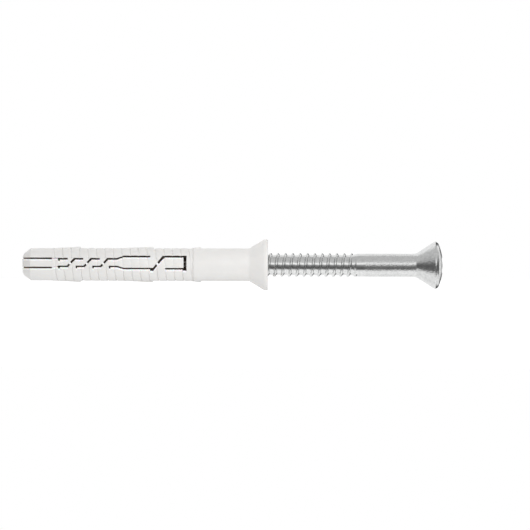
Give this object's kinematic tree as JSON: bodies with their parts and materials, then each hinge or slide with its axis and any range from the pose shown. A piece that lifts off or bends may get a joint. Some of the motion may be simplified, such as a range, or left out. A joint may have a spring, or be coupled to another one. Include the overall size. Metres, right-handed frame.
{
  "type": "wall anchor",
  "caption": "Long-shaft frame fixing: slotted nylon wall plug with a countersunk collar, and its countersunk star-drive screw standing part-way out.",
  "frame": {"origin": "on the anchor's axis, in the plane of the collar's flat outer end, where the sleeve enters the wall", "axes": "+X along the anchor's axis, from the sleeve's tip towards the screw's head; +Z towards the upper leg, up in use; +Y into the page when the slotted front faces the viewer"},
  "size_m": [0.1027, 0.0126, 0.0126],
  "materials": {
    "nylon": "moulded off-white nylon, satin",
    "zinc": "bright zinc-plated steel"
  },
  "bodies": {
    "collar_and_shank": {"collar_and_shank": "nylon"},
    "screw": {"screw": "zinc"},
    "upper_leg": {"upper_leg": "nylon"},
    "lower_leg": {"lower_leg": "nylon"},
    "front_tip_strip": {"front_tip_strip": "nylon"},
    "front_link_1": {"front_link_1": "nylon"},
    "front_link_2": {"front_link_2": "nylon"},
    "front_paddle": {"front_paddle": "nylon"},
    "front_lock_tongue": {"front_lock_tongue": "nylon"},
    "back_tip_strip": {"back_tip_strip": "nylon"},
    "back_link_1": {"back_link_1": "nylon"},
    "back_link_2": {"back_link_2": "nylon"},
    "back_paddle": {"back_paddle": "nylon"},
    "back_lock_tongue": {"back_lock_tongue": "nylon"}
  },
  "joints": [
    {"name": "screw_drive", "type": "slide", "parent": "collar_and_shank", "child": "screw", "axis": [-1, 0, 0], "range_m": [0, 0.0404]},
    {"name": "upper_leg_splay", "type": "hinge", "parent": "collar_and_shank", "child": "upper_leg", "pos_m": [-0.01965, 0, 0.0032], "axis": [0, 1, 0], "range_deg": [0, 1.84]},
    {"name": "lower_leg_splay", "type": "hinge", "parent": "collar_and_shank", "child": "lower_leg", "pos_m": [-0.01965, 0, -0.0032], "axis": [0, -1, 0], "range_deg": [0, 1.84]},
    {"name": "front_tip_strip_bend", "type": "hinge", "parent": "upper_leg", "child": "front_tip_strip", "pos_m": [-0.048, -0.0035, 0], "axis": [0, 0, 1], "range_deg": [0, 5.17]},
    {"name": "front_link_1_bend", "type": "hinge", "parent": "upper_leg", "child": "front_link_1", "pos_m": [-0.04404, -0.0035, 0.0014], "axis": [0, -1, 0], "range_deg": [0, 24.07]},
    {"name": "front_link_2_bend", "type": "hinge", "parent": "upper_leg", "child": "front_link_2", "pos_m": [-0.03999, -0.0035, 0.0014], "axis": [0, -1, 0], "range_deg": [0, 20.06]},
    {"name": "front_paddle_bend", "type": "hinge", "parent": "upper_leg", "child": "front_paddle", "pos_m": [-0.0271, -0.0035, 0.002], "axis": [0, -1, 0], "range_deg": [0, 3.85]},
    {"name": "front_lock_tongue_bend", "type": "hinge", "parent": "lower_leg", "child": "front_lock_tongue", "pos_m": [-0.02505, -0.0035, 0.0005], "axis": [0, 0, -1], "range_deg": [0, 6.89]},
    {"name": "back_tip_strip_bend", "type": "hinge", "parent": "lower_leg", "child": "back_tip_strip", "pos_m": [-0.048, 0.0035, 0], "axis": [0, 0, -1], "range_deg": [0, 5.17]},
    {"name": "back_link_1_bend", "type": "hinge", "parent": "lower_leg", "child": "back_link_1", "pos_m": [-0.04404, 0.0035, -0.0014], "axis": [0, 1, 0], "range_deg": [0, 24.07]},
    {"name": "back_link_2_bend", "type": "hinge", "parent": "lower_leg", "child": "back_link_2", "pos_m": [-0.03999, 0.0035, -0.0014], "axis": [0, 1, 0], "range_deg": [0, 20.06]},
    {"name": "back_paddle_bend", "type": "hinge", "parent": "lower_leg", "child": "back_paddle", "pos_m": [-0.0271, 0.0035, -0.002], "axis": [0, 1, 0], "range_deg": [0, 3.85]},
    {"name": "back_lock_tongue_bend", "type": "hinge", "parent": "upper_leg", "child": "back_lock_tongue", "pos_m": [-0.02505, 0.0035, -0.0005], "axis": [0, 0, 1], "range_deg": [0, 6.89]}
  ],
  "couplings": [
    {"joint": "upper_leg_splay", "follows": "screw_drive", "rad_per_m": 0.7921},
    {"joint": "lower_leg_splay", "follows": "screw_drive", "rad_per_m": 0.7921},
    {"joint": "front_tip_strip_bend", "follows": "screw_drive", "rad_per_m": 2.2277},
    {"joint": "front_link_1_bend", "follows": "screw_drive", "rad_per_m": 10.396},
    {"joint": "front_link_2_bend", "follows": "screw_drive", "rad_per_m": 8.6634},
    {"joint": "front_paddle_bend", "follows": "screw_drive", "rad_per_m": 1.6584},
    {"joint": "front_lock_tongue_bend", "follows": "screw_drive", "rad_per_m": 2.9703},
    {"joint": "back_tip_strip_bend", "follows": "screw_drive", "rad_per_m": 2.2277},
    {"joint": "back_link_1_bend", "follows": "screw_drive", "rad_per_m": 10.396},
    {"joint": "back_link_2_bend", "follows": "screw_drive", "rad_per_m": 8.6634},
    {"joint": "back_paddle_bend", "follows": "screw_drive", "rad_per_m": 1.6584},
    {"joint": "back_lock_tongue_bend", "follows": "screw_drive", "rad_per_m": 2.9703}
  ]
}
